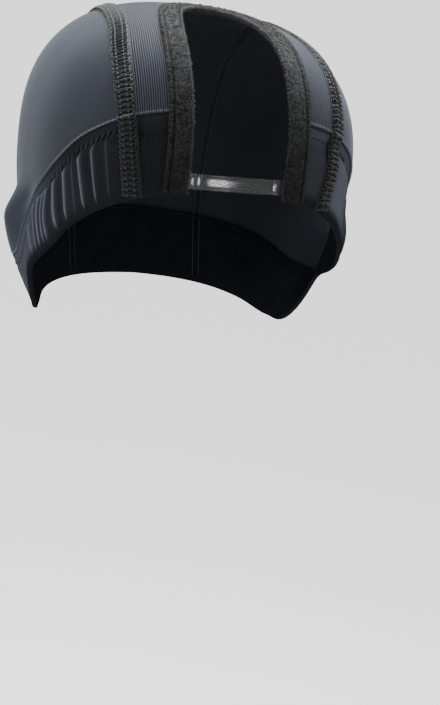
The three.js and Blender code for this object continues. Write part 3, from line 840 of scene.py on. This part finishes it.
# The flat front gets painted light on the wearer's left and none on the right.
left = hem_half(gather_table(left_places, left_heights), 0.36)
right = hem_half(gather_table(*np.array(SEEN_GATHERS).T), 0.0)


def right_round(left, right):
    """Both sides as one grid, all the way round."""
    return np.concatenate([left, right[:, -2::-1]], 1)


points, faces = shell(*(right_round(left[k], right[k] * [-1, 1, 1]) for k in (0, 1)))
uv = np.stack([np.broadcast_to(HEM_LABEL * MM_PER_DEGREE, HEM_RUN.shape), HEM_RUN], -1)
uv, light = both_faces(right_round(uv, uv), right_round(left[2], right[2]))
hem = add_piece("elastic_hem_knit", points, faces, hem_cloth, "hem_cloth", uv, "elastic_hem", light)


# Stitches of the hem: a zigzag of the seams' thread along the groove under the tuck. It goes through the
# turned-up cloth and the elastic, and holds them together.
STITCH_RADIUS, STITCH_REACH, STITCH_SHIFT, STITCH_STAND, POINTS_PER_STITCH = 0.18, 0.8, 0.2, 0.08, 8
GROOVE_ROW, FIRST_COLUMN = 10, 3


def hem_stitches(outer, mirror):
    """The zigzag on one side, laid on the hem's own surface: each point lies between the four corners of
    the hem's face under it."""
    s = lengths_along(outer[GROOVE_ROW, FIRST_COLUMN:])
    fine = np.arange(0, s[-1], STITCH_PITCH / POINTS_PER_STITCH)
    place = STITCH_PLACE + STITCH_SHIFT + STITCH_REACH * ripple(fine, STITCH_PITCH)
    column = np.interp(fine, s, np.arange(len(s)))
    low = column.astype(int).clip(0, len(s) - 2)
    mixed = (column - low)[:, None]
    low = low + FIRST_COLUMN
    run, top = HEM_RUN, (HEM_RUN[:, low] < place).sum(0) - 1
    drop = ((place - run[top, low]) / (run[top + 1, low] - run[top, low]))[:, None]
    upper = outer[top, low] * (1 - mixed) + outer[top, low + 1] * mixed
    lower = outer[top + 1, low] * (1 - mixed) + outer[top + 1, low + 1] * mixed
    line = upper * (1 - drop) + lower * drop
    normal = cloth_normal(line)
    return on_side(*tube(line + normal * STITCH_STAND, normal, STITCH_RADIUS), mirror)


points, sets = joined([hem_stitches(left[0], 1), hem_stitches(right[0], -1)])
# The stitches are painted paler from in front of the ear backwards, where the hem is painted lit.
light = 0.45 * eased(azimuth_of(points), 58, 22)
stitches = add_piece("hem_stitches", points, sets, seam_thread, "seam_thread", light=light)


# Binding of the opening: a plush fold-over elastic, folded round the raw edge of the cloth and sewn down.
# Its folded edge has small picot points, its face is a short dense nap, and the line of sewing sinks in
# near its outer edge, which it draws into small bumps.
BINDING_WIDTH, BINDING_INNER, FOLD_BOTTOM = 10.8, 9.4, -2.1
PICOT_PITCH, PICOT_DEPTH, BINDING_STEP, LINT = 2.4, 1.0, 0.7, 0.13
SEWN_PLACE, SEWN_WIDTH, SEWN_DEPTH, BUMP_PITCH, BUMP_HEIGHT = 8.4, 0.5, 0.5, 2.2, 0.25


def plush_finish(name, low, high):
    """Matt nap, speckled with paler lint and with patches where it lies another way, all scaled by the
    piece's painted light.
    """
    plush = Finish(name, {"Specular IOR Level": 0.03, "Sheen Weight": 0.03, "Sheen Roughness": 0.6})
    lint = plush.noise(1.0, 4.0)
    patch = plush.noise(0.2, 3.0)
    plush.colour((lint * 2.6 + patch * 0.8 - 1.25) * plush.light(), low, high)
    plush.feed("Roughness", 0.85 + lint * 0.12)
    plush.bump(lint * 0.7 + patch * 0.3, 0.35)
    return plush


plush = plush_finish("plush_binding", (0.0008, 0.0008, 0.0009), (0.026, 0.0264, 0.0275))


def sewn_face(across, s):
    """Height of the sewing's groove at a distance from the folded edge, and of the bumps outside it."""
    bumps = BUMP_HEIGHT * ripple(s, BUMP_PITCH) * eased(across, SEWN_PLACE + 0.2, 0.6)
    return bumps - SEWN_DEPTH * bell(across, SEWN_PLACE, SEWN_WIDTH)


def opening_binding():
    """A closed fold-over section carried along the U. Lint lifts its face a little at random, and its folded
    edge runs out into picot points. Gives points, faces, and the section's distances from that edge."""
    path, out, s = opening_edge(BINDING_STEP)
    section = np.array([
        (0.0, -0.6), (0.25, -1.3), (0.8, FOLD_BOTTOM), (3.0, FOLD_BOTTOM - 0.1), (6.0, FOLD_BOTTOM),
        (BINDING_INNER - 0.5, FOLD_BOTTOM), (BINDING_INNER, -1.8), (6.0, -1.6), (1.6, -1.5), (1.35, -0.7),
        (1.6, 0.2), (6.0, 0.2), (BINDING_WIDTH - 0.2, 0.1), (BINDING_WIDTH, 0.4), (BINDING_WIDTH - 0.5, 0.85),
        (9.7, 1.0), (9.1, 1.0), (8.7, 1.0), (8.4, 1.0), (8.1, 1.0), (7.6, 0.98), (6.6, 0.95), (5.2, 0.9),
        (3.8, 0.9), (2.4, 0.95), (1.4, 0.9), (0.7, 0.6), (0.25, 0.0),
    ])
    tooth = rng.uniform(0.55, 1.15, int(s[-1] / PICOT_PITCH) + 2)[(s / PICOT_PITCH).astype(int)]
    picot = PICOT_DEPTH * tooth * np.sin(np.pi * (s / PICOT_PITCH % 1)) ** 0.8
    near = bell(section[:, 0], 0, 0.5)
    across = section[:, 0] - near * (picot[:, None] - 0.3)
    shown = (section[:, 1] > 0.3) | (section[:, 1] < -2.0)
    height = section[:, 1] + rng.normal(0, LINT, (len(s), len(section))) * shown
    height = height + sewn_face(section[:, 0], s[:, None]) * (section[:, 1] > 0.3)
    across = across + rng.normal(0, 0.2, across.shape) * (section[:, 0] > BINDING_WIDTH - 0.6)
    spot = onto_cloth(path[:, None] + out[:, None] * across[..., None])
    return *carried(lifted(spot, height)), np.tile(section[:, 0], len(s))


def nap_light(points, across):
    """Painted light on the nap: paler higher up towards the crown than at the ends of the binding, and
    painted shade in the sewing's groove.
    """
    return (0.4 + 0.8 * eased(points[:, 2], 0, 60)) * (1 - 0.7 * bell(across, SEWN_PLACE, SEWN_WIDTH))


points, sets, across = opening_binding()
tape, light = "opening_binding_tape", nap_light(points, across)
binding = add_piece(tape, points, sets, plush, "plush_binding", None, "opening_binding", light)


# Nap of the binding: short fibres of the tape's own yarn, brushed up all over its face and out of its
# folded edge.
NAP_FIBRES, NAP_LENGTH, NAP_RADIUS, NAP_LEAN = 30000, 0.75, 0.06, 0.55


def binding_nap():
    """Fibres of four faces each that stand on the binding's face and folded edge, leaning at random."""
    path, out, s = opening_edge(BINDING_STEP)
    i = rng.integers(0, len(s), NAP_FIBRES)
    across = rng.uniform(-0.3, BINDING_WIDTH + 0.2, NAP_FIBRES)
    across = across - PICOT_DEPTH * 0.6 * np.sin(np.pi * (s[i] / PICOT_PITCH % 1)) * (across < 0.6)
    jitter = rng.uniform(-0.4, 0.4, (NAP_FIBRES, 1)) * unit(np.gradient(path, axis=0))[i]
    spot = onto_cloth(path[i] + jitter + out[i] * across[:, None])
    normal = cloth_normal(spot)
    face = 0.8 + sewn_face(across, s[i])
    root = spot + normal * np.where(across < 0.3, rng.uniform(-1.4, 0.3, NAP_FIBRES), face)[:, None]
    push = np.where(across < 0.3, -0.9, np.where(across > BINDING_WIDTH - 0.4, 0.8, 0.0))
    lean = normal + out[i] * push[:, None] + rng.normal(0, NAP_LEAN, (NAP_FIBRES, 3))
    tip = root + unit(lean) * (NAP_LENGTH * rng.uniform(0.4, 1.2, (NAP_FIBRES, 1)))
    side = unit(np.cross(lean, rng.normal(0, 1, (NAP_FIBRES, 3))))
    third = np.cross(unit(lean), side)
    turn = np.radians([0, 120, 240])
    feet = root[:, None] + NAP_RADIUS * (
        side[:, None] * np.cos(turn)[:, None] + third[:, None] * np.sin(turn)[:, None]
    )
    points = np.concatenate([feet, tip[:, None]], 1).reshape(-1, 3)
    one = np.array([(0, 2, 1), (0, 1, 3), (1, 2, 3), (2, 0, 3)])
    faces = (np.arange(NAP_FIBRES)[:, None, None] * 4 + one).reshape(-1, 3)
    return points, [faces], np.repeat(across, 4)


points, faces, across = binding_nap()
plush_nap = plush_finish("plush_binding_nap", (0.001, 0.001, 0.0011), (0.042, 0.0425, 0.044))
light = nap_light(points, across)
nap = add_piece("opening_binding_nap", points, faces, plush_nap, "plush_binding", light=light)


# Clear strap: a strip of clear elastic film across the front of the opening, a little thicker along its
# two edges. Its ends run in under the binding and are caught in its sewing.
STRAP_HEIGHT, STRAP_HALF_LENGTH, STRAP_FACE, STRAP_THICK, STRAP_ABOVE_RIM = 7.0, 29.5, -2.8, 0.5, 0.6
CORD_HEIGHT, CORD_PLACE, CORD_WIDTH = 0.26, 0.55, 0.4
DRAWN_IN, DRAWN_HALF_LENGTH, DRAWN_BEND, STRAP_STATIONS = 0.6, 16.5, 5.0, 90
# Light goes straight through so thin a film, and only its gloss shows.
clear_film = Finish("clear_film", {
    "IOR": 1.01, "Transmission Weight": 0.98, "Alpha": 0.3,
    "Coat Weight": 0.7, "Coat Roughness": 0.08, "Coat IOR": 1.45,
})
haze = clear_film.noise(0.12, 2.0)
clear_film.colour(haze, (0.85, 0.84, 0.83), (0.98, 0.97, 0.96))
clear_film.feed("Roughness", 0.02 + haze * 0.03)


def clear_strap():
    """A film section with two rounded edges, carried across the front of the head form. It is drawn in a
    little between the binding's two sides, and bends out where it goes under them."""
    across = np.linspace(-STRAP_HALF_LENGTH, STRAP_HALF_LENGTH, STRAP_STATIONS)
    half = np.array([0, 0.15, 0.55, 0.8, 1.2, 2.0])
    up = np.concatenate([half, [STRAP_HEIGHT / 2], STRAP_HEIGHT - half[::-1]])
    to_edge = np.minimum(up, STRAP_HEIGHT - up)
    bead = CORD_HEIGHT * bell(to_edge, CORD_PLACE, CORD_WIDTH)
    x, z = np.meshgrid(across, rim_height(0.0) + STRAP_ABOVE_RIM + up, indexing="ij")
    base = meet_cloth(np.stack([x, 0 * x, z], -1), np.array([0.0, -1.0, 0.0]))
    sag = DRAWN_IN * (1 - eased(np.abs(across), DRAWN_HALF_LENGTH, DRAWN_BEND))[:, None]
    face = STRAP_FACE - sag
    return shell(lifted(base, face + bead), lifted(base, face - STRAP_THICK - bead * 0.4))


add_piece("clear_strap_film", *clear_strap(), clear_film, "clear_film", None, "clear_strap")


# Stage: a plain pale floor far below the cap, lit as bright as its surroundings so that no horizon shows,
# soft lamps, and the camera.
FLOOR_HEIGHT, FLOOR_SIZE, WORLD_STRENGTH = -1.0, 60.0, 1.7
floor_mesh = bpy.data.meshes.new("floor")
floor_corners = np.array([(-1, -1, 0), (1, -1, 0), (1, 1, 0), (-1, 1, 0)]) * FLOOR_SIZE + [0, 0, FLOOR_HEIGHT]
floor_mesh.from_pydata(floor_corners.tolist(), [], [(0, 1, 2, 3)])
floor = bpy.data.objects.new("floor", floor_mesh)
bpy.context.scene.collection.objects.link(floor)
pale = Finish("pale_floor", {
    "Base Color": (0.93, 0.93, 0.93, 1), "Roughness": 0.9, "Specular IOR Level": 0.1,
})
floor_mesh.materials.append(pale.material)

world = bpy.data.worlds.new("studio")
world.use_nodes = True
background = world.node_tree.nodes["Background"].inputs
background["Color"].default_value = (1, 1, 1, 1)
background["Strength"].default_value = WORLD_STRENGTH
bpy.context.scene.world = world

# Columns: name, place, what it looks at, size, watts.
LAMPS = (
    ("overhead", (0.06, 0.22, 0.52), (0, 0, 0), 0.5, 27.0),
    ("window_right", (-0.9, 0.1, 0.05), (0, 0, 0), 0.7, 10.0),
    ("window_left", (0.75, 0.2, 0.5), (0, 0, 0), 0.6, 6.0),
    ("front_window", (0.204, -0.98, -0.13), (0, -0.09, 0), 0.12, 1.8),
    ("over_the_floor", (0, 0, -0.14), (0, 0, FLOOR_HEIGHT), 40.0, 650.0),
)


def seat(thing, right, up, back, place):
    """Puts a lamp or the camera at a place, with its axes turned along the given ones."""
    turned = np.eye(4)
    turned[:3] = np.stack([right, up, back, place], -1)
    thing.matrix_world = turned.T
    bpy.context.scene.collection.objects.link(thing)


for name, place, target, size, watts in LAMPS:
    data = bpy.data.lights.new(name, "AREA")
    data.size, data.energy = size, watts
    lamp = bpy.data.objects.new(name, data)
    lamp.visible_camera = False
    back = unit(np.array(place) - target)
    right = unit(np.cross([0.0, 1.0, 0.0], back))
    seat(lamp, right, np.cross(back, right), back, place)

CAMERA_AIM, CAMERA_DISTANCE = np.array([0.033627, 0.0, -0.103265]), 0.7
FOCAL_PIXELS, PICTURE_HEIGHT, SENSOR_WIDTH = 1393.3, 705, 36.0
azimuth, elevation, roll = np.radians([-16.17, 11.129, 8.583])
eye = CAMERA_DISTANCE * np.array([
    np.sin(azimuth) * np.cos(elevation), -np.cos(azimuth) * np.cos(elevation), np.sin(elevation)
])
forward = unit(CAMERA_AIM - eye)
right = unit(np.cross(forward, [0.0, 0.0, 1.0]))
up = np.cross(right, forward)
right, up = np.cos(roll) * right + np.sin(roll) * up, np.cos(roll) * up - np.sin(roll) * right
camera_data = bpy.data.cameras.new("camera")
camera_data.sensor_width = SENSOR_WIDTH
camera_data.lens = FOCAL_PIXELS * SENSOR_WIDTH / PICTURE_HEIGHT
camera = bpy.data.objects.new("camera", camera_data)
seat(camera, right, up, -forward, eye)
bpy.context.scene.camera = camera

bpy.context.view_layer.update()
